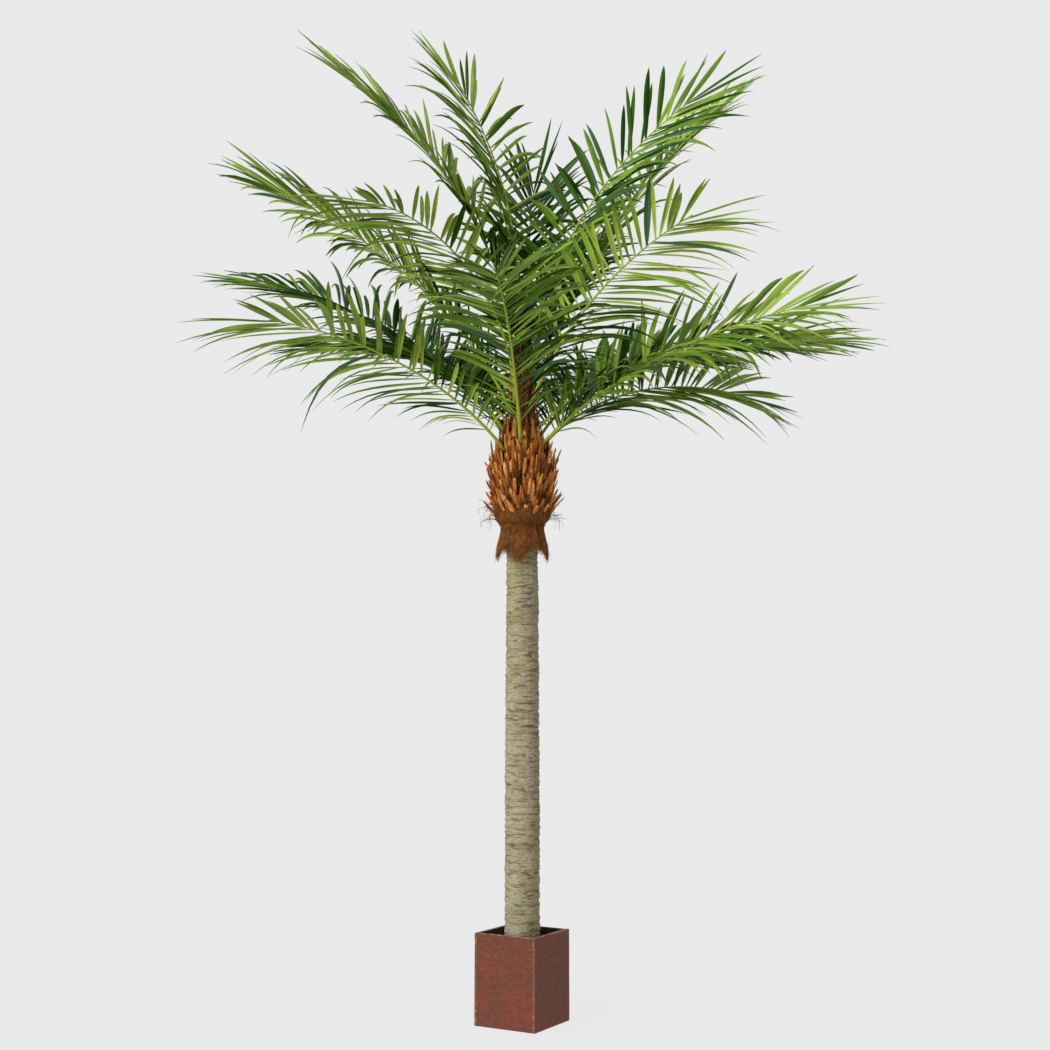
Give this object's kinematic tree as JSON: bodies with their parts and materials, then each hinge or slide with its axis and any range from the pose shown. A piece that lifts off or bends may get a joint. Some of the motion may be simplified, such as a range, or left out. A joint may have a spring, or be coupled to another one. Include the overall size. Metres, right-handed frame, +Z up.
{
  "type": "potted artificial majesty palm",
  "caption": "Tall artificial feather palm with a slim ringed trunk, a fibre collar, a head of cut leaf bases and arching fronds, standing in a square painted wooden box.",
  "frame": {"origin": "centre of the box's underside, on the floor", "axes": "+Z up along the trunk; the box's sides follow X and Y; the picture looks from about 30 degrees to the right of -Y"},
  "size_m": [2.5931, 2.4421, 3.6551],
  "materials": {
    "painted_box": "worn red-brown paint on boards",
    "ballast": "rough dark fill",
    "trunk_wrap": "matt ringed fibre wrap",
    "fibre": "matted palm fibre",
    "leaf_bases": "dry fibrous cut leaf bases",
    "frond": "satin printed leaf cloth"
  },
  "bodies": {
    "root": {"pot": "painted_box", "pot_fill": "ballast", "trunk": "trunk_wrap", "fibre_collar": "fibre", "crown_head": "leaf_bases", "frond_01": "frond", "frond_02": "frond", "frond_03": "frond", "frond_04": "frond", "frond_05": "frond", "frond_06": "frond", "frond_07": "frond", "frond_08": "frond", "frond_09": "frond", "frond_10": "frond", "frond_11": "frond", "frond_12": "frond", "frond_13": "frond", "frond_14": "frond", "frond_15": "frond", "frond_16": "frond", "frond_17": "frond", "frond_18": "frond", "frond_19": "frond", "frond_20": "frond"}
  },
  "joints": []
}
